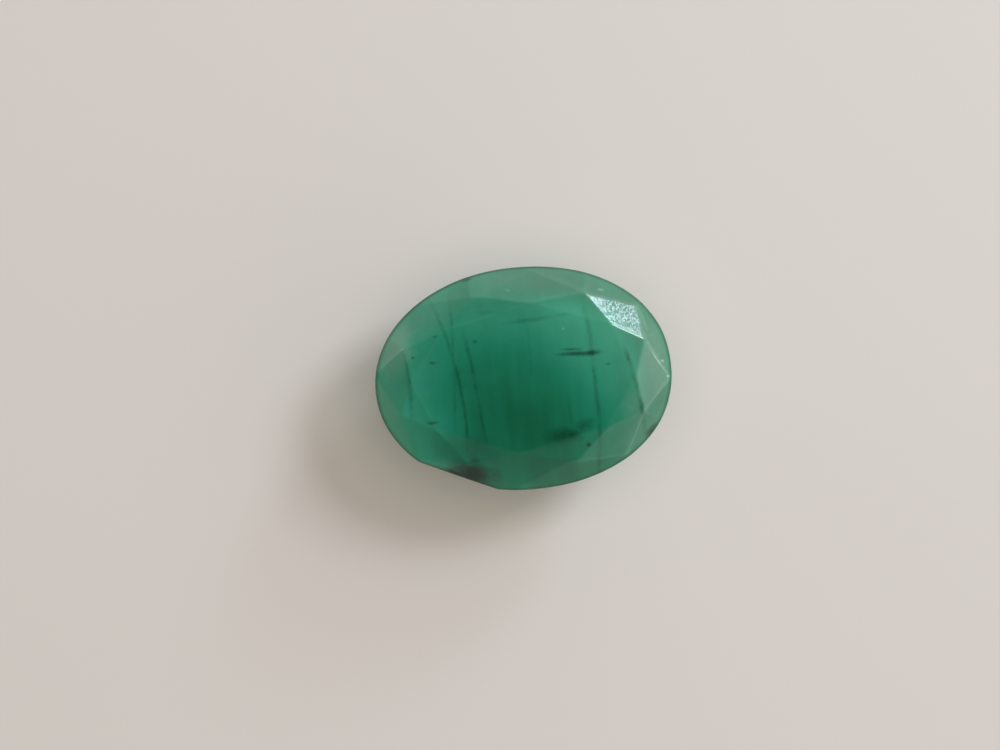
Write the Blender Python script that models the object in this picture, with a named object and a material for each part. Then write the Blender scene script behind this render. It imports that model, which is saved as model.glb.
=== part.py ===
"""A cut and polished oval emerald, lying face up on the small flat at its back.

The stone is ground the way a cutter grinds one: an oval blank is the primitive, and every
facet is one flat cut across it. The crown is a brilliant one, with an octagonal table, eight
stars, eight kites and sixteen upper girdle facets. The pavilion goes down in three oval steps,
and the girdle has one short flat.

Metres, +Z up out of the table, +X along the stone, origin at the middle of the culet.
"""
import math

import bmesh
import bpy
from mathutils import Vector
from mathutils.geometry import intersect_line_plane, intersect_plane_plane

MM = 0.001

# Driving dimensions of the stone.
LENGTH = 12.0 * MM
WIDTH = 9.0 * MM
GIRDLE_THICKNESS = 0.35 * MM
CROWN_ANGLE = math.radians(35.0)
TABLE_INSET = 1.5 * MM          # from the girdle in to each corner of the table

# An ellipse's power is 2, and the outline is a little fuller than that, most of all at +X.
FULLER_POWER = 2.15
PLAINER_POWER = 2.02
OUTLINE_SEGMENTS = 128

# A short flat was ground on the girdle, facing forward and to the left.
FLAT_TURN = math.radians(239.0)
FLAT_DEPTH = 0.22 * MM

# The crown was ground slightly turned against the outline.
CROWN_FACETS = 8
CROWN_TURN = math.radians(-5.0)
STAR_TIP_HEIGHT = 0.78          # of the crown's height

# Hand-ground kites stop at unequal heights above the girdle. They go round from the end at +X.
KITE_RISES = (0.03 * MM, 0.06 * MM, 0.03 * MM, 0.04 * MM, 0.01 * MM, 0.03 * MM, 0.02 * MM, 0.04 * MM)

# The pair of upper girdle facets at a kite's foot meets this far round from the kite's middle.
KITE_FEET = (0.0, math.radians(-5.0), 0.0, 0.0, math.radians(-3.0), 0.0, 0.0, 0.0)

# Each step's lower edge is the outline at this scale, and the last one is the culet.
STEP_SCALES = (0.80, 0.56, 0.29)
STEP_ANGLES = (math.radians(60.0), math.radians(51.0), math.radians(40.0))   # at the long sides
STEP_FACETS = 16

# Worked out from the driving dimensions.
CROWN_HEIGHT = TABLE_INSET * math.tan(CROWN_ANGLE)
STEP_STARTS = (1.0,) + STEP_SCALES[:-1]
STEP_DEPTHS = tuple(
    (start - end) * WIDTH / 2 * math.tan(angle)
    for start, end, angle in zip(STEP_STARTS, STEP_SCALES, STEP_ANGLES)
)
GIRDLE_BOTTOM = sum(STEP_DEPTHS)
GIRDLE_TOP = GIRDLE_BOTTOM + GIRDLE_THICKNESS
TABLE_HEIGHT = GIRDLE_TOP + CROWN_HEIGHT

# Edges duller than this belong to the round of the girdle and are shaded smooth.
SMOOTH_BELOW = math.radians(7.0)
WELD_DISTANCE = 0.001 * MM
ON_PLANE = 0.0001 * MM

EMERALD_GREEN = (0.018, 0.235, 0.118, 1.0)
EMERALD_IOR = 1.577


def clear_scene():
    """Removes whatever the open file holds, and leaves the file open."""
    for scene_object in list(bpy.data.objects):
        bpy.data.objects.remove(scene_object, do_unlink=True)


def outline_power(x):
    """The power of the half of the outline that x is in."""
    return FULLER_POWER if x > 0 else PLAINER_POWER


def outline_point(turn, height, scale=1.0):
    """The point of the oval outline at an angle of the circle that it is stretched from."""
    across = math.cos(turn)
    along = math.sin(turn)
    power = outline_power(across)
    x = LENGTH / 2 * math.copysign(abs(across) ** (2 / power), across)
    y = WIDTH / 2 * math.copysign(abs(along) ** (2 / power), along)
    return Vector((x * scale, y * scale, height))


def outline_normal(turn):
    """The level direction that points straight out of the outline there."""
    point = outline_point(turn, 0.0)
    power = outline_power(point.x)
    x = math.copysign(abs(2 * point.x / LENGTH) ** (power - 1) / LENGTH, point.x)
    y = math.copysign(abs(2 * point.y / WIDTH) ** (power - 1) / WIDTH, point.y)
    return Vector((x, y, 0.0)).normalized()


def oval_blank():
    """The blank that the stone is ground from: an oval disc as thick as the finished stone."""
    blank = bmesh.new()
    bmesh.ops.create_cone(
        blank,
        cap_ends=True,
        segments=OUTLINE_SEGMENTS,
        radius1=1.0,
        radius2=1.0,
        depth=TABLE_HEIGHT,
    )
    for vertex in blank.verts:
        turn = math.atan2(vertex.co.y, vertex.co.x)
        vertex.co = outline_point(turn, vertex.co.z + TABLE_HEIGHT / 2)
    return blank


def grind(stone, points):
    """Grinds one flat facet through three points, and keeps the side that the middle is on."""
    first, second, third = points
    normal = (second - first).cross(third - first).normalized()
    middle = Vector((0.0, 0.0, GIRDLE_BOTTOM))
    if normal.dot(middle - first) > 0:
        normal.negate()
    everything = stone.verts[:] + stone.edges[:] + stone.faces[:]
    bmesh.ops.bisect_plane(
        stone,
        geom=everything,
        dist=ON_PLANE,
        plane_co=first,
        plane_no=normal,
        clear_outer=True,
    )
    rim = [edge for edge in stone.edges if edge.is_boundary]
    if rim:
        bmesh.ops.contextual_create(stone, geom=rim)


def grind_flat(stone):
    """Grinds the upright flat on the girdle, its depth in from the oval."""
    outward = outline_normal(FLAT_TURN)
    foot = outline_point(FLAT_TURN, 0.0) - outward * FLAT_DEPTH
    sideways = outward.cross(Vector((0, 0, 1))) * WIDTH
    grind(stone, (foot, foot + sideways, foot + Vector((0, 0, TABLE_HEIGHT))))


def crown_turn(step):
    """The outline angle of a crown facet, where whole steps are kites and halves are stars."""
    return CROWN_TURN + step * math.tau / CROWN_FACETS


def kite_foot(kite):
    """The point at the top of the girdle where a kite's pair of upper girdle facets meets."""
    return outline_point(crown_turn(kite) + KITE_FEET[kite % CROWN_FACETS], GIRDLE_TOP)


def table_corner(kite):
    """The corner of the table where a kite ends, straight in from the girdle."""
    corner = outline_point(crown_turn(kite), TABLE_HEIGHT)
    return corner - outline_normal(crown_turn(kite)) * TABLE_INSET


def kite_plane(kite):
    """A point and the outward normal of a kite, which goes from its table corner to its rise."""
    rise = KITE_RISES[kite % CROWN_FACETS]
    slope = math.atan2(CROWN_HEIGHT - rise, TABLE_INSET)
    outward = outline_normal(crown_turn(kite)) * math.sin(slope)
    normal = outward + Vector((0.0, 0.0, math.cos(slope)))
    return outline_point(crown_turn(kite), GIRDLE_TOP + rise), normal


def star_tip(kite):
    """The point between a kite and the next one where both of them meet the star."""
    line_point, line_direction = intersect_plane_plane(*kite_plane(kite), *kite_plane(kite + 1))
    level = Vector((0.0, 0.0, GIRDLE_TOP + CROWN_HEIGHT * STAR_TIP_HEIGHT))
    return intersect_line_plane(line_point, line_point + line_direction, level, Vector((0, 0, 1)))


def grind_crown(stone):
    """Grinds the kites, then the stars and the pairs of upper girdle facets between them."""
    for kite in range(CROWN_FACETS):
        girdle_point, normal = kite_plane(kite)
        sideways = normal.cross(Vector((0, 0, 1))).normalized() * TABLE_INSET
        grind(stone, (girdle_point, girdle_point + sideways, table_corner(kite)))
    for kite in range(CROWN_FACETS):
        tip = star_tip(kite)
        grind(stone, (table_corner(kite), table_corner(kite + 1), tip))
        between = outline_point(crown_turn(kite + 0.5), GIRDLE_TOP)
        for neighbour in (kite, kite + 1):
            grind(stone, (tip, kite_foot(neighbour), between))


def grind_pavilion(stone):
    """Grinds the steps of the back, from the girdle down to the culet."""
    upper = GIRDLE_BOTTOM
    for start, end, depth in zip(STEP_STARTS, STEP_SCALES, STEP_DEPTHS):
        lower = upper - depth
        for facet in range(STEP_FACETS):
            turn = facet * math.tau / STEP_FACETS
            top_edge = outline_point(turn, upper, start)
            sideways = outline_normal(turn).cross(Vector((0, 0, 1))) * WIDTH
            grind(stone, (top_edge, top_edge + sideways, outline_point(turn, lower, end)))
        upper = lower


def emerald_material():
    """Milky green beryl with a glossy polish."""
    material = bpy.data.materials.new("polished_emerald")
    material.use_nodes = True
    shader = material.node_tree.nodes["Principled BSDF"]
    shader.inputs["Base Color"].default_value = EMERALD_GREEN
    shader.inputs["Roughness"].default_value = 0.12
    shader.inputs["Metallic"].default_value = 0.0
    shader.inputs["IOR"].default_value = EMERALD_IOR
    shader.inputs["Transmission Weight"].default_value = 0.3
    material.diffuse_color = EMERALD_GREEN
    return material


def build_emerald():
    """Grinds the stone and puts it in a collection of its own."""
    stone = oval_blank()
    grind_flat(stone)
    grind_crown(stone)
    grind_pavilion(stone)
    bmesh.ops.remove_doubles(stone, verts=stone.verts, dist=WELD_DISTANCE)
    bmesh.ops.dissolve_degenerate(stone, edges=stone.edges, dist=WELD_DISTANCE)
    bmesh.ops.recalc_face_normals(stone, faces=stone.faces)
    mesh = bpy.data.meshes.new("emerald")
    stone.to_mesh(mesh)
    stone.free()
    mesh.shade_smooth()
    mesh.set_sharp_from_angle(angle=SMOOTH_BELOW)
    mesh.materials.append(emerald_material())
    emerald = bpy.data.objects.new("emerald", mesh)
    collection = bpy.data.collections.new("oval_emerald")
    bpy.context.scene.collection.children.link(collection)
    collection.objects.link(emerald)
    return emerald


clear_scene()
build_emerald()
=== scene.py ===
"""Looks of a cut and polished oval emerald that lies face up on a pale floor.

Laid out as an add-on and run as a script. The stone's skin is a surface worked out from the
packed stone's own facets, with the soft edges that hand polish leaves, and the milky colour,
veils and dark flecks are patterns in the stone's own millimetres. Some of the colour is painted
light, painted shade and painted reflection haze.
"""

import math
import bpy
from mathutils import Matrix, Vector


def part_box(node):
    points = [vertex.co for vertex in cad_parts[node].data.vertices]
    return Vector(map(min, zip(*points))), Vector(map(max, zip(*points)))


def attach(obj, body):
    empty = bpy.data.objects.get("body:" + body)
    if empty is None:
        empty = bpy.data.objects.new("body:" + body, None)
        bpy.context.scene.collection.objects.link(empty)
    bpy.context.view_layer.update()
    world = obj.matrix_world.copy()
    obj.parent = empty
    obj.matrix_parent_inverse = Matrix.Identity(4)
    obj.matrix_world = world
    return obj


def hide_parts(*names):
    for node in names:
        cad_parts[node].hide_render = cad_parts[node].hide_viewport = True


bl_info = {
    "name": "Oval emerald",
    "version": (1, 0, 0),
    "blender": (4, 5, 0),
    "location": "3D View > Sidebar > Emerald",
    "description": "Makes the skin, the material and the studio of a cut oval emerald",
    "category": "Object",
}

import bmesh
import bpy
import numpy as np
from bpy.props import FloatProperty, FloatVectorProperty, IntProperty, PointerProperty
from mathutils import Matrix, Vector

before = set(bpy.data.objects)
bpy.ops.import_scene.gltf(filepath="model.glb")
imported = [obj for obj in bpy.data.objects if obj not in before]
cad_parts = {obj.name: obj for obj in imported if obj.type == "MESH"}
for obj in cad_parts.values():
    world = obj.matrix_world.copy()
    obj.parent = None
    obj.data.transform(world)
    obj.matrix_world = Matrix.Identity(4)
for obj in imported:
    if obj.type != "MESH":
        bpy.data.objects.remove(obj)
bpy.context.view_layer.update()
STONE_LOW, STONE_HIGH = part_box("emerald")

MM = 0.001
HALF_LENGTH = STONE_HIGH.x / MM
HALF_WIDTH = STONE_HIGH.y / MM
HEIGHT = STONE_HIGH.z / MM

# An ellipse's power is 2, and the cutter's outline is a little fuller, most of all at +X.
FULLER_POWER = 2.15
PLAINER_POWER = 2.02

# The photograph's frame and the stone's place in it, in pixels, and its turn there.
PHOTO_WIDTH = 1000
PHOTO_HEIGHT = 750
STONE_PIXELS_LONG = 297.0
STONE_PIXEL_CENTRE = (523.3, 378.4)
STONE_ROLL = math.radians(5.0)

SEED = 7

# The direction that the badly polished kite of the crown faces, which is the one that shines.
PITTED_WAY = (0.37, 0.41, 0.83)

# An upright face smaller than the first is one of the girdle's strips, and any face smaller than
# the second is a sliver with no sure direction. Both are in square metres, and a face counts as
# upright where its normal rises by less than the third.
FLAT_AREA = 0.5 * MM**2
SLIVER_AREA = 0.001 * MM**2
UPRIGHT_RISE = 0.1

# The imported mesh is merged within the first, and faces that turn less than the second are joined.
WELD_DISTANCE = 0.0005 * MM
FLAT_ANGLE = math.radians(0.5)

# Grid points nearer to a facet's edge than this share of a cell are moved onto the edge.
SNAP_SHARE = 0.45

# The pitted kite is better polished within this many millimetres of its edges.
POLISHED_BORDER = 0.15

# The wavelengths in millimetres of the slow unevenness that hand polish leaves, and their number.
RELIEF_WAVES = (1.0, 3.0)
RELIEF_COUNT = 14

# Sizes in millimetres of the patterns in the stone: the widths of its clouds, patches and silk,
# the growth bands' and the pits' sizes along x, y and z, and the depth of the pits.
CLOUD_WIDTH = 1 / 0.45
PATCH_WIDTH = 1 / 1.4
SILK_WIDTH = 1 / 5
BAND_SIZES = (1 / 1.8, 1 / 0.22, 1 / 0.4)
PIT_SIZES = (1 / 13, 1 / 7.5, 1 / 10)
PIT_DEPTH = 0.0035

# The growth bands stand turned about z by this angle in radians.
BAND_TURN = 0.08

# The deepest green fills an oval with this middle, turn and half sizes, in millimetres. It is partly the
# stone's own colour zoning and partly painted shade: it sits towards the bottom, away from the window, so
# the window's side is painted paler.
DEEP_MIDDLE = (-0.1, -1.9, 2.6)
DEEP_TURN = math.radians(45)
DEEP_SIZES = (3.6, 5.3, 6.0)

# Beryl bends light by this much.
BERYL_IOR = 1.577

# The girdle's middle stands at this share of the stone's height.
GIRDLE_SHARE = 0.77

# The floor lies this far under the stone, and the second is half its side in metres.
FLOOR_GAP = 0.02 * MM
FLOOR_HALF = 1.0
FLOOR_CORNERS = ((-1, -1), (1, -1), (1, 1), (-1, 1))

# The room is brightest on this side, as a compass turn from the right of the picture.
ROOM_TURN = math.radians(16.0)


def linear(hex_colour):
    """Turns an sRGB hex value such as 1a7355 into linear red, green, blue and an alpha of one."""
    levels = [int(hex_colour[place : place + 2], 16) / 255 for place in (0, 2, 4)]
    curve = [v / 12.92 if v <= 0.04045 else ((v + 0.055) / 1.055) ** 2.4 for v in levels]
    return (*curve, 1.0)


class EmeraldStoneSettings(bpy.types.PropertyGroup):
    """How finely the stone's skin is drawn, and the colours of its material"""

    cells: IntProperty(
        name="Cells",
        description="Grid cells along each side of the ball that the skin is drawn from",
        default=128,
        min=16,
        max=128,
    )
    edge_power: FloatProperty(
        name="Edge crispness",
        description="Power that blends neighbouring facets, where more gives crisper edges",
        default=420.0,
        min=50.0,
    )
    relief: FloatProperty(
        name="Polish relief",
        description="Depth of the slow unevenness that hand polish leaves, in millimetres",
        default=0.004,
        min=0.0,
    )
    deep_green: FloatVectorProperty(
        name="Deep green",
        description="Colour of the body in its deepest zone",
        subtype="COLOR",
        size=4,
        min=0.0,
        max=1.0,
        default=linear("15704f"),
    )
    bright_green: FloatVectorProperty(
        name="Bright green",
        description="Colour of the body far from its deepest zone",
        subtype="COLOR",
        size=4,
        min=0.0,
        max=1.0,
        default=linear("2fb896"),
    )
    # The milk colour also paints reflection haze on the crown.
    milk_and_haze_colour: FloatVectorProperty(
        name="Milk",
        description="Colour of the fine cloud that the body is filled with in places",
        subtype="COLOR",
        size=4,
        min=0.0,
        max=1.0,
        default=linear("b9cfc4"),
    )
    # This colour is also that of the painted shade just inside the girdle.
    veil_and_shade_green: FloatVectorProperty(
        name="Veil green",
        description="Colour of the healed cracks seen edge on",
        subtype="COLOR",
        size=4,
        min=0.0,
        max=1.0,
        default=linear("0a4a34"),
    )
    fleck_brown: FloatVectorProperty(
        name="Fleck brown",
        description="Colour of the dark mineral flecks",
        subtype="COLOR",
        size=4,
        min=0.0,
        max=1.0,
        default=linear("0d160d"),
    )
    # This colour is also that of painted shade.
    stain_and_shade_green: FloatVectorProperty(
        name="Stain green",
        description="Colour of the soft dark clouds",
        subtype="COLOR",
        size=4,
        min=0.0,
        max=1.0,
        default=linear("0b1a0f"),
    )
    chafe_grey: FloatVectorProperty(
        name="Chafed grey green",
        description="Colour where the polish is chafed",
        subtype="COLOR",
        size=4,
        min=0.0,
        max=1.0,
        default=linear("c3d6cb"),
    )


class EmeraldStageSettings(bpy.types.PropertyGroup):
    """The floor's colour and the camera's distance"""

    floor_colour: FloatVectorProperty(
        name="Floor",
        description="Colour of the plain pale floor",
        subtype="COLOR",
        size=4,
        min=0.0,
        max=1.0,
        default=linear("dcd8d3"),
    )
    camera_distance: FloatProperty(
        name="Camera distance",
        description="From the camera to the stone's girdle",
        default=0.1,
        min=0.02,
        unit="LENGTH",
    )


def add_node(tree, kind, settings=None, inputs=None):
    """Adds a node. settings are its attributes, and inputs are values or the sockets that feed it."""
    node = tree.nodes.new(kind)
    for name, value in (settings or {}).items():
        setattr(node, name, value)
    for name, value in (inputs or {}).items():
        if isinstance(value, bpy.types.NodeSocket):
            tree.links.new(value, node.inputs[name])
        else:
            node.inputs[name].default_value = value
    return node


def new_material(name):
    """An empty material with its output node."""
    material = bpy.data.materials.new(name)
    material.use_nodes = True
    material.node_tree.nodes.clear()
    output = material.node_tree.nodes.new("ShaderNodeOutputMaterial")
    return material, material.node_tree, output


# The stone's skin


def ground_facets():
    """Outward normals and distances, in millimetres from the stone's middle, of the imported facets.

    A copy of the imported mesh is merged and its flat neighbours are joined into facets. The
    girdle's narrow upright strips are left out, because one oval cylinder stands for them all.
    """
    merged = bmesh.new()
    merged.from_mesh(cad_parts["emerald"].data)
    bmesh.ops.remove_doubles(merged, verts=merged.verts, dist=WELD_DISTANCE)
    bmesh.ops.dissolve_limit(
        merged, angle_limit=FLAT_ANGLE, verts=merged.verts, edges=merged.edges
    )
    facets = [
        face
        for face in merged.faces
        if face.calc_area() > (SLIVER_AREA if abs(face.normal.z) > UPRIGHT_RISE else FLAT_AREA)
    ]
    normals = np.array([face.normal for face in facets])
    points = np.array([face.calc_center_median() for face in facets]) / MM
    merged.free()
    if len(normals) < 4:
        raise RuntimeError("The packed stone has too few facets to close a skin round it")
    distances = np.einsum("ij,ij->i", normals, points - middle())
    return normals, distances


def middle():
    """The point that the skin is drawn out from: on the axis, halfway up the stone."""
    return np.array((0.0, 0.0, HEIGHT / 2))


def ball_grid(cells):
    """Unit directions and quads of a ball made of six square grids that share their seams.

    A side's points lie at equal angles: a lattice step c of n stands at tan((c / n - 1/2) * pi / 2)
    on a cube's side, and the point is then brought to unit length.
    """
    i, j = np.meshgrid(np.arange(cells + 1), np.arange(cells + 1), indexing="ij")
    far = np.full_like(i, cells)
    near = np.zeros_like(i)
    sides = ((far, i, j), (near, j, i), (j, far, i), (i, near, j), (i, j, far), (j, i, near))
    lattice = np.stack([np.stack(side, axis=-1) for side in sides])
    corners, index = np.unique(lattice.reshape(-1, 3), axis=0, return_inverse=True)
    index = index.reshape(6, cells + 1, cells + 1)
    quads = np.stack(
        (index[:, :-1, :-1], index[:, 1:, :-1], index[:, 1:, 1:], index[:, :-1, 1:]), axis=-1
    ).reshape(-1, 4)
    points = np.tan((corners / cells - 0.5) * math.pi / 2)
    return points / np.linalg.norm(points, axis=1, keepdims=True), quads


def outline_power(points):
    """The outline's power at each point: one for each half of the stone."""
    return np.where(points[:, 0] > 0, FULLER_POWER, PLAINER_POWER)


class Skin:
    """The stone as a rule that says how far out a point is: 1 is on the skin, less is inside."""

    def __init__(self, power):
        self.power = power
        normals, distances = ground_facets()
        self.slopes = normals / distances[:, None]
        self.upright = np.append(np.abs(normals[:, 2]) < UPRIGHT_RISE, True)

    def reaches(self, points):
        """Each facet's share of the way out, dot(normal, point) / distance, and the oval's last.

        The oval cylinder's share is (|x / a| ^ n + |y / b| ^ n) ^ (1 / n).
        """
        x = np.abs(points[:, 0] / HALF_LENGTH)
        y = np.abs(points[:, 1] / HALF_WIDTH)
        power = outline_power(points)
        oval = (x**power + y**power) ** (1 / power)
        return np.concatenate((points @ self.slopes.T, oval[:, None]), axis=1)

    def steepness(self, points, which):
        """Gradient of one share at each point: which holds the facet's place, the oval's last."""
        padded = np.vstack((self.slopes, np.zeros(3)))
        gradient = padded[which]
        half = np.array((HALF_LENGTH, HALF_WIDTH))
        level = points[:, :2] / half
        power = outline_power(points)[:, None]
        oval = (np.abs(level) ** power).sum(axis=1, keepdims=True) ** (1 / power)
        ratio = np.abs(level) / np.maximum(oval, 1e-9)
        round_slope = ratio ** (power - 1) * np.sign(level) / half
        gradient[:, :2] += round_slope * (which == len(self.slopes))[:, None]
        return gradient

    def out(self, points):
        """The power mean of the shares: (sum of share ^ p) ^ (1 / p), which rounds the edges."""
        shares = np.maximum(self.reaches(points), 0.0)
        top = shares.max(axis=1)
        return top * ((shares / top[:, None]) ** self.power).sum(axis=1) ** (1 / self.power)

    def facet_towards(self, way):
        """The place of the facet whose normal is nearest to a direction."""
        return (self.slopes @ way / np.linalg.norm(self.slopes, axis=1)).argmax()

    def normals(self, points):
        """Outward unit normals: the shares' gradients, weighed by (share / greatest) ^ (p - 1)."""
        shares = np.maximum(self.reaches(points), 0.0)
        weights = (shares / shares.max(axis=1, keepdims=True)) ** (self.power - 1)
        oval = np.full(len(points), len(self.slopes))
        total = weights[:, :-1] @ self.slopes + weights[:, -1:] * self.steepness(points, oval)
        return total / np.linalg.norm(total, axis=1, keepdims=True)

    def junctions(self, points):
        """The outermost facet at each point, and the step from it to where it meets the next one."""
        shares = self.reaches(points)
        rows = np.arange(len(points))
        first = shares.argmax(axis=1)
        gap = shares[rows, first].copy()
        shares[rows, first] = -1.0
        second = shares.argmax(axis=1)
        gap -= shares[rows, second]
        across = self.steepness(points, first) - self.steepness(points, second)
        step = -across * (gap / np.maximum((across**2).sum(axis=1), 1e-12))[:, None]
        return first, step


def polish_relief(points):
    """Slow unevenness from 0 to 1 and its gradient per millimetre.

    It is half plus a twelfth of a sum of cosine waves with seeded directions, 1 to 3 mm long.
    """
    random = np.random.default_rng(SEED)
    waves = random.normal(size=(RELIEF_COUNT, 3))
    lengths = random.uniform(*RELIEF_WAVES, RELIEF_COUNT)
    waves *= (2 * math.pi / lengths / np.linalg.norm(waves, axis=1))[:, None]
    phase = points @ waves.T + random.uniform(0, 2 * math.pi, RELIEF_COUNT)
    return np.clip(0.5 + np.cos(phase).sum(axis=1) / 12, 0, 1), -np.sin(phase) @ waves / 12


def skin_grid(skin, cells):
    """The skin's points and triangles: each ray of an oval ball grid is cut where its reach is 1.

    A ray from the middle through p meets the skin at p / out(p). Points nearer to a junction than
    SNAP_SHARE of a cell are then moved onto it, twice over, so that the grid's lines run along the
    facets' edges. Each quad is split along the diagonal that bulges further out, because the stone
    is convex.
    """
    directions, quads = ball_grid(cells)
    rays = directions * (HALF_LENGTH, HALF_WIDTH, HEIGHT / 2)
    rays /= skin.out(rays)[:, None]
    pitch = math.pi / 2 * HALF_WIDTH / cells
    for _ in range(2):
        step = skin.junctions(rays)[1]
        close = np.linalg.norm(step, axis=1) < SNAP_SHARE * pitch
        rays[close] += step[close]
        rays /= skin.out(rays)[:, None]
    a, b, c, d = quads.T
    other_way = skin.out((rays[b] + rays[d]) / 2) > skin.out((rays[a] + rays[c]) / 2)
    start = np.where(other_way[:, None], quads[:, (1, 2, 3, 0)], quads)
    return rays, np.concatenate((start[:, (0, 1, 2)], start[:, (0, 2, 3)]))


def skin_values(skin, points):
    """What the material reads at each point of the skin, by the name of its attribute.

    junction is the way to the nearest facet's edge in millimetres, facet_tone is a random number
    for each facet, rim is 1 at the outline and 0 on the axis, and girdle is above 0 on the
    girdle. pitted is how badly the pitted kite is polished: less along its edges and in its left
    corner, where x - y is small, and 0 elsewhere.
    """
    first, step = skin.junctions(points)
    meeting = np.linalg.norm(step, axis=1)
    tones = np.random.default_rng(SEED).random(len(skin.slopes) + 1)
    shares = skin.reaches(points)
    rim = shares[:, skin.upright].max(axis=1)
    from_corner = np.clip((points[:, 0] - points[:, 1] - 0.15) / 0.85, 0.15, 1.0)
    from_edge = np.clip(meeting / POLISHED_BORDER, 0.0, 1.0)
    return {
        "junction": meeting,
        "facet_tone": tones[first],
        "girdle": rim - shares[:, ~skin.upright].max(axis=1),
        "rim": rim,
        "pitted": (first == skin.facet_towards(PITTED_WAY)) * from_corner * from_edge,
    }


def skin_mesh(settings):
    """The stone's skin, lowered by the polish relief: p * (1 - relief * hollow / |p|)."""
    skin = Skin(settings.edge_power)
    rays, triangles = skin_grid(skin, settings.cells)
    hollow, tilt = polish_relief(rays)
    depth = settings.relief * hollow / np.linalg.norm(rays, axis=1)
    places = rays * (1 - depth)[:, None] + middle()
    normals = skin.normals(rays) + settings.relief * tilt
    normals /= np.linalg.norm(normals, axis=1, keepdims=True)
    mesh = bpy.data.meshes.new("polished_emerald")
    mesh.from_pydata(places * MM, [], triangles)
    mesh.polygons.foreach_set("use_smooth", np.ones(len(mesh.polygons), bool))
    for name, value in skin_values(skin, rays).items():
        attribute = mesh.attributes.new(name, "FLOAT", "POINT")
        attribute.data.foreach_set("value", value.astype(np.float32))
    mesh.update()
    mesh.normals_split_custom_set_from_vertices(normals.tolist())
    return mesh


# The stone's material

# Veils are healed cracks that stand through the stone and show as dark lines. Each has the place
# where it crosses the middle in x, its lean and bend in y, its middle and half length in y, its
# half width, all in millimetres, and its strength.
VEILS = (
    (-2.58, -0.141, -0.037, -0.4, 2.5, 0.065, 0.55),
    (-2.58, -0.141, -0.037, 2.2, 1.7, 0.070, 0.22),
    (-1.97, -0.114, -0.002, -0.3, 2.8, 0.070, 0.42),
    (-2.78, 0.051, -0.008, 0.8, 3.4, 0.060, 0.24),
    (4.36, -0.203, -0.033, -0.9, 2.2, 0.080, 0.48),
    (2.84, -0.033, -0.017, -1.8, 3.0, 0.070, 0.36),
    (2.84, -0.033, -0.017, 1.5, 1.8, 0.075, 0.20),
    (-4.54, -0.018, -0.047, 0.1, 1.7, 0.070, 0.28),
    (0.32, 0.029, -0.017, 1.0, 1.3, 0.055, 0.17),
    (1.67, -0.050, 0.0, -1.4, 0.8, 0.055, 0.17),
    # The last two rows are wide, soft darker bands rather than cracks.
    (3.90, -0.150, -0.030, -0.4, 1.6, 0.300, 0.12),
    (-2.20, -0.120, -0.010, -0.8, 2.2, 0.350, 0.15),
)

# Flecks are dark mineral grains: place, half sizes and turn about z in degrees, then strength
# and how much of the way out from the middle they stay full.
FLECKS = (
    ((2.30, 0.80, 5.30), (0.98, 0.110, 0.25), -2.0, 0.65, 0.2),
    ((2.72, 0.78, 5.30), (0.48, 0.150, 0.25), 2.0, 0.75, 0.2),
    ((2.02, 0.99, 5.30), (0.45, 0.075, 0.20), -3.0, 0.45, 0.1),
    ((0.40, 2.30, 5.25), (1.20, 0.130, 0.30), 3.0, 0.28, 0.0),
    ((-1.15, 2.74, 5.10), (0.55, 0.120, 0.30), -4.0, 0.25, 0.0),
    ((1.75, 2.40, 5.20), (0.45, 0.090, 0.30), 2.0, 0.22, 0.0),
    ((2.37, -2.87, 4.80), (0.15, 0.140, 0.60), 0.0, 0.85, 0.5),
    ((4.95, -2.52, 4.20), (0.40, 0.200, 0.40), 50.0, 0.68, 0.2),
    ((-1.90, 4.14, 4.20), (0.30, 0.100, 0.30), 10.0, 0.70, 0.2),
    ((-3.56, 0.93, 5.30), (0.18, 0.080, 0.20), -10.0, 0.45, 0.2),
    ((-4.34, 1.20, 5.20), (0.09, 0.085, 0.20), 0.0, 0.45, 0.2),
    ((-1.81, 1.63, 5.30), (0.13, 0.090, 0.20), 0.0, 0.35, 0.2),
    ((-3.77, -1.46, 5.30), (0.28, 0.090, 0.20), 0.0, 0.50, 0.2),
    ((-3.39, 1.96, 5.30), (0.13, 0.070, 0.20), 0.0, 0.30, 0.2),
    ((3.42, 0.28, 5.30), (0.13, 0.080, 0.20), 0.0, 0.30, 0.2),
)

# Stains are soft dark patches, given like the flecks: partly clouds of the same mineral deeper in the
# body, partly painted shade.
STAINS_AND_SHADE = (
    ((-2.75, -3.80, 4.20), (1.40, 0.420, 0.90), -24.0, 1.00, 0.5),
    ((-2.35, -3.55, 4.40), (1.25, 1.100, 1.20), -10.0, 0.90, 0.3),
    ((-2.25, -3.00, 4.80), (0.60, 0.900, 0.90), 5.0, 0.70, 0.1),
    ((1.80, -2.40, 5.10), (0.50, 0.360, 0.40), 20.0, 0.90, 0.2),
    ((1.40, -2.40, 5.10), (1.15, 0.500, 0.40), 3.0, 0.85, 0.1),
    ((2.25, -2.06, 5.10), (0.60, 0.400, 0.40), 20.0, 0.90, 0.1),
    ((-0.10, 3.00, 5.00), (3.00, 0.850, 1.20), 3.0, 0.17, 0.2),
    ((-2.30, -2.70, 5.00), (1.80, 1.000, 1.20), -12.0, 0.36, 0.2),
)

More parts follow.
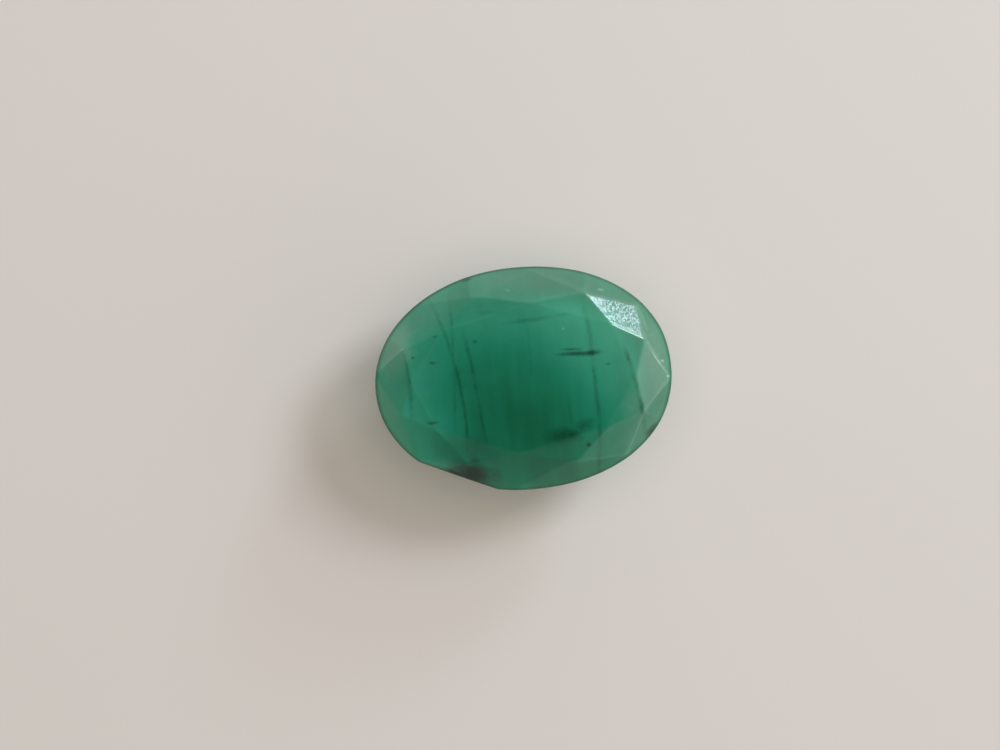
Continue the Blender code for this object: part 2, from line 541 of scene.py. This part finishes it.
# Blooms are given like the flecks: partly thin milky clouds just under the skin, partly painted reflection
# haze on the crown.
BLOOMS_AND_HAZE = (
    ((-3.70, 2.75, 4.60), (2.10, 1.000, 1.20), 36.0, 0.10, 0.1),
    ((0.20, 3.95, 4.60), (2.60, 0.600, 1.20), -5.0, 0.07, 0.1),
    ((-5.30, 0.20, 4.40), (0.90, 1.600, 1.20), 0.0, 0.06, 0.1),
    ((-5.00, 1.60, 4.60), (1.00, 1.800, 1.40), -20.0, 0.28, 0.3),
    ((4.25, -1.45, 4.90), (0.60, 0.800, 0.90), -30.0, 0.16, 0.1),
    ((4.60, -2.65, 4.40), (1.90, 1.000, 1.20), 35.0, 0.11, 0.1),
    ((5.45, 0.90, 4.40), (0.50, 0.900, 1.20), 10.0, 0.06, 0.1),
)

# Chafes are pale scratches and dull patches of the polish, given like the flecks.
CHAFES = (
    ((5.40, 0.30, 4.70), (0.90, 0.045, 0.50), -59.0, 0.55, 0.0),
    ((5.33, 0.60, 4.70), (0.75, 1.700, 0.80), 8.0, 0.09, 0.0),
    ((5.05, 1.80, 4.60), (0.06, 0.550, 0.50), 12.0, 0.30, 0.0),
    ((5.63, 0.22, 4.50), (0.09, 0.070, 0.16), 0.0, 0.60, 0.2),
    ((5.82, -0.41, 4.38), (0.08, 0.070, 0.16), 0.0, 0.60, 0.2),
    ((3.39, 3.29, 4.60), (0.18, 0.060, 0.30), -10.0, 0.35, 0.1),
    ((2.70, 3.35, 4.70), (0.22, 0.050, 0.30), 5.0, 0.30, 0.1),
    ((-0.32, 3.57, 4.80), (0.14, 0.070, 0.30), -20.0, 0.30, 0.1),
    ((-1.36, 3.26, 4.90), (0.12, 0.060, 0.30), 0.0, 0.20, 0.1),
    ((1.75, 1.84, 5.30), (0.08, 0.070, 0.20), 0.0, 0.20, 0.1),
)


def veil_mask(tree, axes, wobble, patchiness):
    """How much of each point is veil: 0 away from every veil, and a veil's strength on its line.

    A veil's line is x = place + lean * y + bend * y ^ 2. It fades out over twice its half width,
    and over the outer half of its length.
    """
    total = None
    for x, lean, bend, centre, half_length, half_width, strength in VEILS:
        bent = add_node(
            tree, "ShaderNodeMath", {"operation": "MULTIPLY_ADD"}, {0: axes["Y"], 1: bend, 2: lean}
        )
        line = add_node(
            tree,
            "ShaderNodeMath",
            {"operation": "MULTIPLY_ADD"},
            {0: bent.outputs[0], 1: axes["Y"], 2: x},
        )
        away = add_node(
            tree, "ShaderNodeMath", {"operation": "SUBTRACT"}, {0: wobble, 1: line.outputs[0]}
        )
        size = add_node(tree, "ShaderNodeMath", {"operation": "ABSOLUTE"}, {0: away.outputs[0]})
        near = add_node(
            tree,
            "ShaderNodeMapRange",
            {"interpolation_type": "SMOOTHSTEP"},
            {
                "Value": size.outputs[0],
                "From Min": 0.0,
                "From Max": half_width * 2,
                "To Min": strength,
                "To Max": 0.0,
            },
        )
        along = add_node(tree, "ShaderNodeMath", {"operation": "SUBTRACT"}, {0: axes["Y"], 1: centre})
        span = add_node(tree, "ShaderNodeMath", {"operation": "ABSOLUTE"}, {0: along.outputs[0]})
        fade = add_node(
            tree,
            "ShaderNodeMapRange",
            {"interpolation_type": "SMOOTHSTEP"},
            {
                "Value": span.outputs[0],
                "From Min": half_length * 0.5,
                "From Max": half_length,
                "To Min": 1.0,
                "To Max": 0.0,
            },
        )
        veil = add_node(
            tree,
            "ShaderNodeMath",
            {"operation": "MULTIPLY"},
            {0: near.outputs[0], 1: fade.outputs[0]},
        )
        if total is None:
            total = veil
        else:
            total = add_node(
                tree,
                "ShaderNodeMath",
                {"operation": "MAXIMUM"},
                {0: total.outputs[0], 1: veil.outputs[0]},
            )
    patchy = add_node(
        tree, "ShaderNodeMath", {"operation": "MULTIPLY"}, {0: total.outputs[0], 1: patchiness}
    )
    return patchy.outputs[0]


def spot_mask(tree, place, raggedness, spots):
    """How much of each point is spot: from strength inside an oval to 0 past its ragged rim."""
    total = None
    for centre, sizes, turn, strength, full in spots:
        own = add_node(
            tree,
            "ShaderNodeMapping",
            {"vector_type": "TEXTURE"},
            {
                "Vector": place,
                "Location": centre,
                "Rotation": (0, 0, math.radians(turn)),
                "Scale": sizes,
            },
        )
        reach = add_node(tree, "ShaderNodeVectorMath", {"operation": "LENGTH"}, {0: own.outputs[0]})
        ragged = add_node(
            tree, "ShaderNodeMath", {"operation": "ADD"}, {0: reach.outputs["Value"], 1: raggedness}
        )
        spot = add_node(
            tree,
            "ShaderNodeMapRange",
            {"interpolation_type": "SMOOTHSTEP"},
            {
                "Value": ragged.outputs[0],
                "From Min": full,
                "From Max": 1.2,
                "To Min": strength,
                "To Max": 0.0,
            },
        )
        if total is None:
            total = spot
        else:
            total = add_node(
                tree,
                "ShaderNodeMath",
                {"operation": "MAXIMUM"},
                {0: total.outputs[0], 1: spot.outputs[0]},
            )
    return total.outputs[0]


def mix_colour(tree, share, first, second):
    """The socket of a colour that goes from first to second with share.

    A mix node's two colours are its inputs 6 and 7, and its mixed colour is its output 2.
    """
    mix = add_node(tree, "ShaderNodeMix", {"data_type": "RGBA"}, {"Factor": share})
    for place, value in ((6, first), (7, second)):
        if isinstance(value, bpy.types.NodeSocket):
            tree.links.new(value, mix.inputs[place])
        else:
            mix.inputs[place].default_value = value
    return mix.outputs[2]


def emerald_material(settings):
    """Milky green beryl, ground flat and polished with fine oxide on a lap.

    Beryl bends light by 1.577. The eye meets a wet gloss, a body that glows like thick milky
    glass, deep green where it is thick and paler at the rim, and the dull ring of the girdle,
    which was ground and left unpolished. Part of the body's colour is painted light, painted
    shade and painted reflection haze.
    """
    material, tree, output = new_material("polished_emerald")
    coordinates = add_node(tree, "ShaderNodeTexCoord")
    scaled = add_node(
        tree,
        "ShaderNodeVectorMath",
        {"operation": "SCALE"},
        {0: coordinates.outputs["Object"], "Scale": 1 / MM},
    )
    place = scaled.outputs[0]
    axes = add_node(tree, "ShaderNodeSeparateXYZ", inputs={0: place}).outputs

    clouds, patches, silk = (
        add_node(
            tree,
            "ShaderNodeTexNoise",
            inputs={"Vector": place, "Scale": 1 / width, "Detail": detail, "Roughness": roughness},
        ).outputs["Fac"]
        for width, detail, roughness in (
            (CLOUD_WIDTH, 4.0, 0.55),
            (PATCH_WIDTH, 3.0, 0.6),
            (SILK_WIDTH, 5.0, 0.6),
        )
    )

    # The body is brighter and milkier away from its deepest green: partly the stone's own zoning and milk,
    # partly painted light on the window's side and painted reflection haze.
    zone = add_node(
        tree,
        "ShaderNodeMapping",
        {"vector_type": "TEXTURE"},
        {
            "Vector": place,
            "Location": DEEP_MIDDLE,
            "Rotation": (0, 0, DEEP_TURN),
            "Scale": DEEP_SIZES,
        },
    )
    reach = add_node(tree, "ShaderNodeVectorMath", {"operation": "LENGTH"}, {0: zone.outputs[0]})
    cloudy = add_node(
        tree,
        "ShaderNodeMath",
        {"operation": "MULTIPLY_ADD"},
        {0: clouds, 1: 0.30, 2: reach.outputs["Value"]},
    )
    away = add_node(
        tree,
        "ShaderNodeMapRange",
        inputs={"Value": cloudy.outputs[0], "From Min": 0.6, "From Max": 1.65},
    )
    # The crown is painted 0.13 paler all round, painted lighter on the side away from the window and
    # painted darker on the window's side, where reflections already pale it.
    rim = add_node(tree, "ShaderNodeAttribute", {"attribute_name": "rim"}).outputs["Fac"]
    window_side = add_node(
        tree, "ShaderNodeVectorMath", {"operation": "DOT_PRODUCT"}, {0: place, 1: (0.8, 0.6, 0.0)}
    )
    crown_side_light = add_node(
        tree,
        "ShaderNodeMapRange",
        inputs={
            "Value": window_side.outputs["Value"],
            "From Min": -5.0,
            "From Max": 3.0,
            "To Min": 1.3,
            "To Max": 0.1,
        },
    )
    crown = add_node(
        tree,
        "ShaderNodeMapRange",
        {"interpolation_type": "SMOOTHSTEP"},
        {"Value": rim, "From Min": 0.58, "From Max": 0.88},
    ).outputs[0]
    share = add_node(
        tree,
        "ShaderNodeMapRange",
        inputs={"Value": crown, "To Min": 1.0, "To Max": crown_side_light.outputs[0]},
    )
    green = add_node(
        tree, "ShaderNodeMath", {"operation": "MULTIPLY"}, {0: away.outputs[0], 1: share.outputs[0]}
    )
    crown_painted_brightness = add_node(
        tree, "ShaderNodeMath", {"operation": "MULTIPLY_ADD"}, {0: crown, 1: 0.13, 2: green.outputs[0]}
    )
    # Growth bands stand across the stone, as the veils do.
    stretched = add_node(
        tree,
        "ShaderNodeMapping",
        inputs={
            "Vector": place,
            "Rotation": (0, 0, BAND_TURN),
            "Scale": tuple(1 / size for size in BAND_SIZES),
        },
    )
    bands = add_node(
        tree, "ShaderNodeTexNoise", inputs={"Vector": stretched.outputs[0], "Scale": 1.0, "Detail": 2.0}
    )
    band_share = add_node(
        tree,
        "ShaderNodeMapRange",
        inputs={
            "Value": bands.outputs["Fac"],
            "From Min": 0.3,
            "From Max": 0.7,
            "To Min": -0.05,
            "To Max": 0.05,
        },
    )
    brightness = add_node(
        tree,
        "ShaderNodeMath",
        {"operation": "ADD", "use_clamp": True},
        {0: crown_painted_brightness.outputs[0], 1: band_share.outputs[0]},
    )
    body = mix_colour(
        tree, brightness.outputs[0], settings.deep_green, settings.bright_green
    )
    # A pale ring away from the deepest green: partly milk, partly painted reflection haze.
    milk_and_haze_ring = add_node(
        tree,
        "ShaderNodeMapRange",
        {"interpolation_type": "SMOOTHSTEP"},
        {"Value": cloudy.outputs[0], "From Min": 0.90, "From Max": 1.70, "To Min": 0.0, "To Max": 0.14},
    )
    clouded = mix_colour(tree, milk_and_haze_ring.outputs[0], body, settings.milk_and_haze_colour)
    softness = add_node(
        tree, "ShaderNodeMath", {"operation": "MULTIPLY_ADD"}, {0: patches, 1: 0.6, 2: -0.30}
    )
    grain = add_node(
        tree, "ShaderNodeMath", {"operation": "MULTIPLY_ADD"}, {0: silk, 1: 0.25, 2: softness.outputs[0]}
    )
    # The blooms add milk and painted reflection haze.
    bloomed_and_hazed = mix_colour(
        tree, spot_mask(tree, place, grain.outputs[0], BLOOMS_AND_HAZE), clouded, settings.milk_and_haze_colour
    )

    # The veils wander with two noises, whose mean of 0.175 mm is taken off again.
    wander = add_node(
        tree, "ShaderNodeMath", {"operation": "MULTIPLY_ADD"}, {0: clouds, 1: 0.25, 2: axes["X"]}
    )
    wobble = add_node(
        tree, "ShaderNodeMath", {"operation": "MULTIPLY_ADD"}, {0: silk, 1: 0.10, 2: wander.outputs[0]}
    )
    centred = add_node(
        tree, "ShaderNodeMath", {"operation": "SUBTRACT"}, {0: wobble.outputs[0], 1: 0.175}
    )
    patchiness = add_node(
        tree,
        "ShaderNodeMapRange",
        inputs={"Value": patches, "From Min": 0.35, "From Max": 0.62, "To Min": 0.35, "To Max": 1.3},
    )
    veiled = mix_colour(
        tree,
        veil_mask(tree, axes, centred.outputs[0], patchiness.outputs[0]),
        bloomed_and_hazed,
        settings.veil_and_shade_green,
    )
    raggedness = add_node(
        tree, "ShaderNodeMath", {"operation": "MULTIPLY_ADD"}, {0: silk, 1: 0.9, 2: -0.45}
    )
    # Mineral stains and painted shade.
    stained_and_shaded = mix_colour(
        tree,
        spot_mask(tree, place, grain.outputs[0], STAINS_AND_SHADE),
        veiled,
        settings.stain_and_shade_green,
    )
    flecked = mix_colour(
        tree,
        spot_mask(tree, place, raggedness.outputs[0], FLECKS),
        stained_and_shaded,
        settings.fleck_brown,
    )
    scratched = mix_colour(
        tree,
        spot_mask(tree, place, raggedness.outputs[0], CHAFES),
        flecked,
        settings.chafe_grey,
    )

    # The edges are a little chafed where facets meet, and painted shade darkens a thin band just inside
    # the girdle.
    junction = add_node(tree, "ShaderNodeAttribute", {"attribute_name": "junction"}).outputs["Fac"]
    girdle = add_node(tree, "ShaderNodeAttribute", {"attribute_name": "girdle"}).outputs["Fac"]
    frosted = add_node(
        tree,
        "ShaderNodeMapRange",
        {"interpolation_type": "SMOOTHSTEP"},
        {"Value": girdle, "From Min": -0.003, "From Max": 0.003, "To Min": 0.0, "To Max": 1.0},
    )
    tone = add_node(tree, "ShaderNodeAttribute", {"attribute_name": "facet_tone"}).outputs["Fac"]
    edge = add_node(
        tree,
        "ShaderNodeMapRange",
        {"interpolation_type": "SMOOTHSTEP"},
        {"Value": junction, "From Min": 0.0, "From Max": 0.07, "To Min": 0.03, "To Max": 0.0},
    )
    broken = add_node(
        tree,
        "ShaderNodeMath",
        {"operation": "MULTIPLY"},
        {0: edge.outputs[0], 1: clouds},
    )
    chafed = mix_colour(tree, broken.outputs[0], scratched, settings.chafe_grey)
    # Painted shade just inside the girdle.
    rim_shade = add_node(
        tree,
        "ShaderNodeMapRange",
        {"interpolation_type": "SMOOTHSTEP"},
        {"Value": rim, "From Min": 0.968, "From Max": 0.997, "To Min": 0.0, "To Max": 0.7},
    )
    shaded_at_rim = mix_colour(tree, rim_shade.outputs[0], chafed, settings.veil_and_shade_green)
    paleness = add_node(
        tree, "ShaderNodeMath", {"operation": "MULTIPLY"}, {0: frosted.outputs[0], 1: 0.30}
    )
    ringed = mix_colour(tree, paleness.outputs[0], shaded_at_rim, settings.chafe_grey)

    # The lap's strokes ran along y, so its pits are longer that way.
    stroked = add_node(
        tree,
        "ShaderNodeMapping",
        inputs={"Vector": place, "Scale": tuple(1 / size for size in PIT_SIZES)},
    )
    pits = add_node(
        tree,
        "ShaderNodeTexNoise",
        inputs={"Vector": stroked.outputs[0], "Scale": 1.0, "Detail": 3.0, "Roughness": 0.65},
    )
    pitting = add_node(
        tree,
        "ShaderNodeMapRange",
        {"interpolation_type": "SMOOTHSTEP"},
        {"Value": pits.outputs["Fac"], "From Min": 0.46, "From Max": 0.60, "To Min": 0.08, "To Max": 0.44},
    )
    pitted = add_node(tree, "ShaderNodeAttribute", {"attribute_name": "pitted"}).outputs["Fac"]
    polish = add_node(
        tree, "ShaderNodeMath", {"operation": "MULTIPLY_ADD"}, {0: silk, 1: 0.06, 2: 0.01}
    )
    smooth = add_node(
        tree,
        "ShaderNodeMath",
        {"operation": "MULTIPLY_ADD"},
        {0: pitting.outputs[0], 1: pitted, 2: polish.outputs[0]},
    )
    toned = add_node(
        tree, "ShaderNodeMath", {"operation": "MULTIPLY_ADD"}, {0: tone, 1: 0.05, 2: smooth.outputs[0]}
    )
    dull = add_node(
        tree,
        "ShaderNodeMath",
        {"operation": "MULTIPLY_ADD"},
        {0: frosted.outputs[0], 1: 0.35, 2: toned.outputs[0]},
    )
    relief = add_node(
        tree,
        "ShaderNodeBump",
        inputs={"Strength": 1.0, "Distance": PIT_DEPTH * MM, "Height": pits.outputs["Fac"]},
    )
    shader = add_node(
        tree,
        "ShaderNodeBsdfPrincipled",
        {"subsurface_method": "RANDOM_WALK"},
        {
            "Base Color": ringed,
            "Roughness": dull.outputs[0],
            "IOR": BERYL_IOR,
            "Normal": relief.outputs[0],
            "Transmission Weight": 0.25,
            "Subsurface Weight": 0.7,
            "Subsurface Radius": (0.25, 1.0, 0.6),
            "Subsurface Scale": 2.0 * MM,
        },
    )
    absorption = add_node(
        tree,
        "ShaderNodeVolumeAbsorption",
        inputs={"Color": (0.0, 0.84, 0.67, 1.0), "Density": 1.5 / MM},
    )
    tree.links.new(shader.outputs[0], output.inputs["Surface"])
    tree.links.new(absorption.outputs[0], output.inputs["Volume"])
    return material


class EMERALD_OT_stone(bpy.types.Operator):
    """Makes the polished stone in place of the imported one"""

    bl_idname = "emerald.stone"
    bl_label = "Polish the stone"

    def execute(self, context):
        if "emerald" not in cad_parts:
            raise RuntimeError("The packed model has no node named emerald to stand in for")
        settings = context.scene.emerald_stone
        mesh = skin_mesh(settings)
        mesh.materials.append(emerald_material(settings))
        stone = bpy.data.objects.new("polished_emerald", mesh)
        context.scene.collection.objects.link(stone)
        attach(stone, "root")
        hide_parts("emerald")
        return {"FINISHED"}


# The studio


def floor_material(settings):
    """Plain matt paper, which gives a soft pale ground with no gloss."""
    material, tree, output = new_material("pale_paper")
    shader = add_node(
        tree,
        "ShaderNodeBsdfPrincipled",
        inputs={"Base Color": settings.floor_colour, "Roughness": 0.9, "Specular IOR Level": 0.2},
    )
    tree.links.new(shader.outputs[0], output.inputs["Surface"])
    return material


# Each soft box has its compass turn from the right of the picture, its height above the floor
# in degrees, its distance and sides in millimetres, its brightness and its colour.
SOFT_BOXES = {
    "window": (53.0, 23.3, 220.0, (46.0, 46.0), 13.8, "d8eafc"),
    "key": (36.0, 43.0, 260.0, (80.0, 80.0), 14.0, "f0f4ff"),
    "fill": (90.0, 90.0, 600.0, (600.0, 600.0), 1.35, "fff2e4"),
    "low_card": (268.0, 62.0, 300.0, (170.0, 60.0), 0.2, "f4f4f2"),
    "left_card": (158.0, 6.0, 300.0, (70.0, 60.0), 2.6, "f4f6f6"),
}


def soft_box(name, turn, rise, distance, sides, brightness, colour, scene):
    """An area light that looks at the stone. Its power is brightness times pi times its area.

    The fill stands straight over the stone and would glare on the table, so it is left out of
    the reflections.
    """
    light = bpy.data.lights.new(name, "AREA")
    light.shape = "RECTANGLE"
    light.size, light.size_y = (side * MM for side in sides)
    light.energy = brightness * math.pi * light.size * light.size_y
    light.color = linear(colour)[:3]
    lamp = bpy.data.objects.new(name, light)
    around = math.radians(turn) - STONE_ROLL
    above = math.radians(rise)
    away = Vector(
        (math.cos(around) * math.cos(above), math.sin(around) * math.cos(above), math.sin(above))
    )
    target = Vector((0, 0, HEIGHT * MM))
    lamp.location = target + away * distance * MM
    lamp.rotation_euler = away.to_track_quat("Z", "Y").to_euler()
    lamp.visible_glossy = name != "fill"
    scene.collection.objects.link(lamp)
    return lamp


def soft_room():
    """A room that is dark overhead and pale around, so that the table stays clear of glare.

    Its brightness is (0.24 + 2.4 * ((1 + cos) / 2) ^ 2.2) * (1 - height) ^ 1.1, where cos is
    that of the angle to the window's side and height runs from 0 level to 1 overhead.
    """
    world = bpy.data.worlds.new("soft_room")
    world.use_nodes = True
    tree = world.node_tree
    around = ROOM_TURN - STONE_ROLL
    way = add_node(tree, "ShaderNodeTexCoord").outputs["Generated"]
    height = add_node(tree, "ShaderNodeSeparateXYZ", inputs={0: way}).outputs["Z"]
    lowness = add_node(
        tree, "ShaderNodeMath", {"operation": "SUBTRACT", "use_clamp": True}, {0: 1.0, 1: height}
    )
    fall = add_node(tree, "ShaderNodeMath", {"operation": "POWER"}, {0: lowness.outputs[0], 1: 1.1})
    side = add_node(
        tree,
        "ShaderNodeVectorMath",
        {"operation": "DOT_PRODUCT"},
        {0: way, 1: (math.cos(around), math.sin(around), 0.0)},
    )
    half_side = add_node(
        tree,
        "ShaderNodeMath",
        {"operation": "MULTIPLY_ADD", "use_clamp": True},
        {0: side.outputs["Value"], 1: 0.5, 2: 0.5},
    )
    near_window = add_node(
        tree, "ShaderNodeMath", {"operation": "POWER"}, {0: half_side.outputs[0], 1: 2.2}
    )
    lit = add_node(
        tree, "ShaderNodeMath", {"operation": "MULTIPLY_ADD"}, {0: near_window.outputs[0], 1: 2.4, 2: 0.24}
    )
    strength = add_node(
        tree, "ShaderNodeMath", {"operation": "MULTIPLY"}, {0: lit.outputs[0], 1: fall.outputs[0]}
    )
    background = tree.nodes["Background"]
    background.inputs["Color"].default_value = linear("faf5ef")
    tree.links.new(strength.outputs[0], background.inputs["Strength"])
    return world


def photo_camera(settings, scene):
    """A camera that looks straight down on the table, with the photograph's roll and framing."""
    data = bpy.data.cameras.new("camera")
    data.sensor_width = 36.0
    data.clip_start = 1 * MM
    pixels_per_metre = STONE_PIXELS_LONG / (2 * HALF_LENGTH * MM)
    data.lens = pixels_per_metre * settings.camera_distance * data.sensor_width / PHOTO_WIDTH
    camera = bpy.data.objects.new("camera", data)
    right = Vector((math.cos(STONE_ROLL), -math.sin(STONE_ROLL), 0))
    up = Vector((math.sin(STONE_ROLL), math.cos(STONE_ROLL), 0))
    aside = (PHOTO_WIDTH / 2 - STONE_PIXEL_CENTRE[0]) / pixels_per_metre
    below = (PHOTO_HEIGHT / 2 - STONE_PIXEL_CENTRE[1]) / pixels_per_metre
    girdle_height = GIRDLE_SHARE * HEIGHT * MM
    place = right * aside - up * below
    place.z = girdle_height + settings.camera_distance
    turn = Matrix((right, up, Vector((0, 0, 1)))).transposed()
    camera.matrix_world = Matrix.Translation(place) @ turn.to_4x4()
    scene.collection.objects.link(camera)
    scene.camera = camera
    return camera


class EMERALD_OT_stage(bpy.types.Operator):
    """Makes the floor, the soft boxes, the sky and the camera"""

    bl_idname = "emerald.stage"
    bl_label = "Set the stage"

    def execute(self, context):
        scene = context.scene
        settings = scene.emerald_stage
        corners = [(x * FLOOR_HALF, y * FLOOR_HALF, -FLOOR_GAP) for x, y in FLOOR_CORNERS]
        mesh = bpy.data.meshes.new("floor")
        mesh.from_pydata(corners, [], [range(len(corners))])
        mesh.materials.append(floor_material(settings))
        floor = bpy.data.objects.new("floor", mesh)
        scene.collection.objects.link(floor)
        for name, box in SOFT_BOXES.items():
            soft_box(name, *box, scene)
        scene.world = soft_room()
        scene.view_settings.view_transform = "Standard"
        photo_camera(settings, scene)
        return {"FINISHED"}


class EMERALD_PT_panel(bpy.types.Panel):
    """Lists the settings and the two operators in the 3D view's sidebar"""

    bl_label = "Oval emerald"
    bl_idname = "EMERALD_PT_panel"
    bl_space_type = "VIEW_3D"
    bl_region_type = "UI"
    bl_category = "Emerald"

    def draw(self, context):
        layout = self.layout
        for settings in (context.scene.emerald_stone, context.scene.emerald_stage):
            box = layout.box()
            for name in settings.__annotations__:
                box.prop(settings, name)
        layout.operator(EMERALD_OT_stone.bl_idname)
        layout.operator(EMERALD_OT_stage.bl_idname)


CLASSES = (
    EmeraldStoneSettings,
    EmeraldStageSettings,
    EMERALD_OT_stone,
    EMERALD_OT_stage,
    EMERALD_PT_panel,
)


def register():
    """Registers the classes and puts the settings on the scene."""
    for each in CLASSES:
        bpy.utils.register_class(each)
    bpy.types.Scene.emerald_stone = PointerProperty(type=EmeraldStoneSettings)
    bpy.types.Scene.emerald_stage = PointerProperty(type=EmeraldStageSettings)


def unregister():
    """Takes the settings off the scene and the classes away again."""
    del bpy.types.Scene.emerald_stage
    del bpy.types.Scene.emerald_stone
    for each in reversed(CLASSES):
        bpy.utils.unregister_class(each)


def main():
    """Makes the stone and its stage."""
    register()
    bpy.ops.emerald.stone()
    bpy.ops.emerald.stage()


if __name__ == "__main__":
    main()
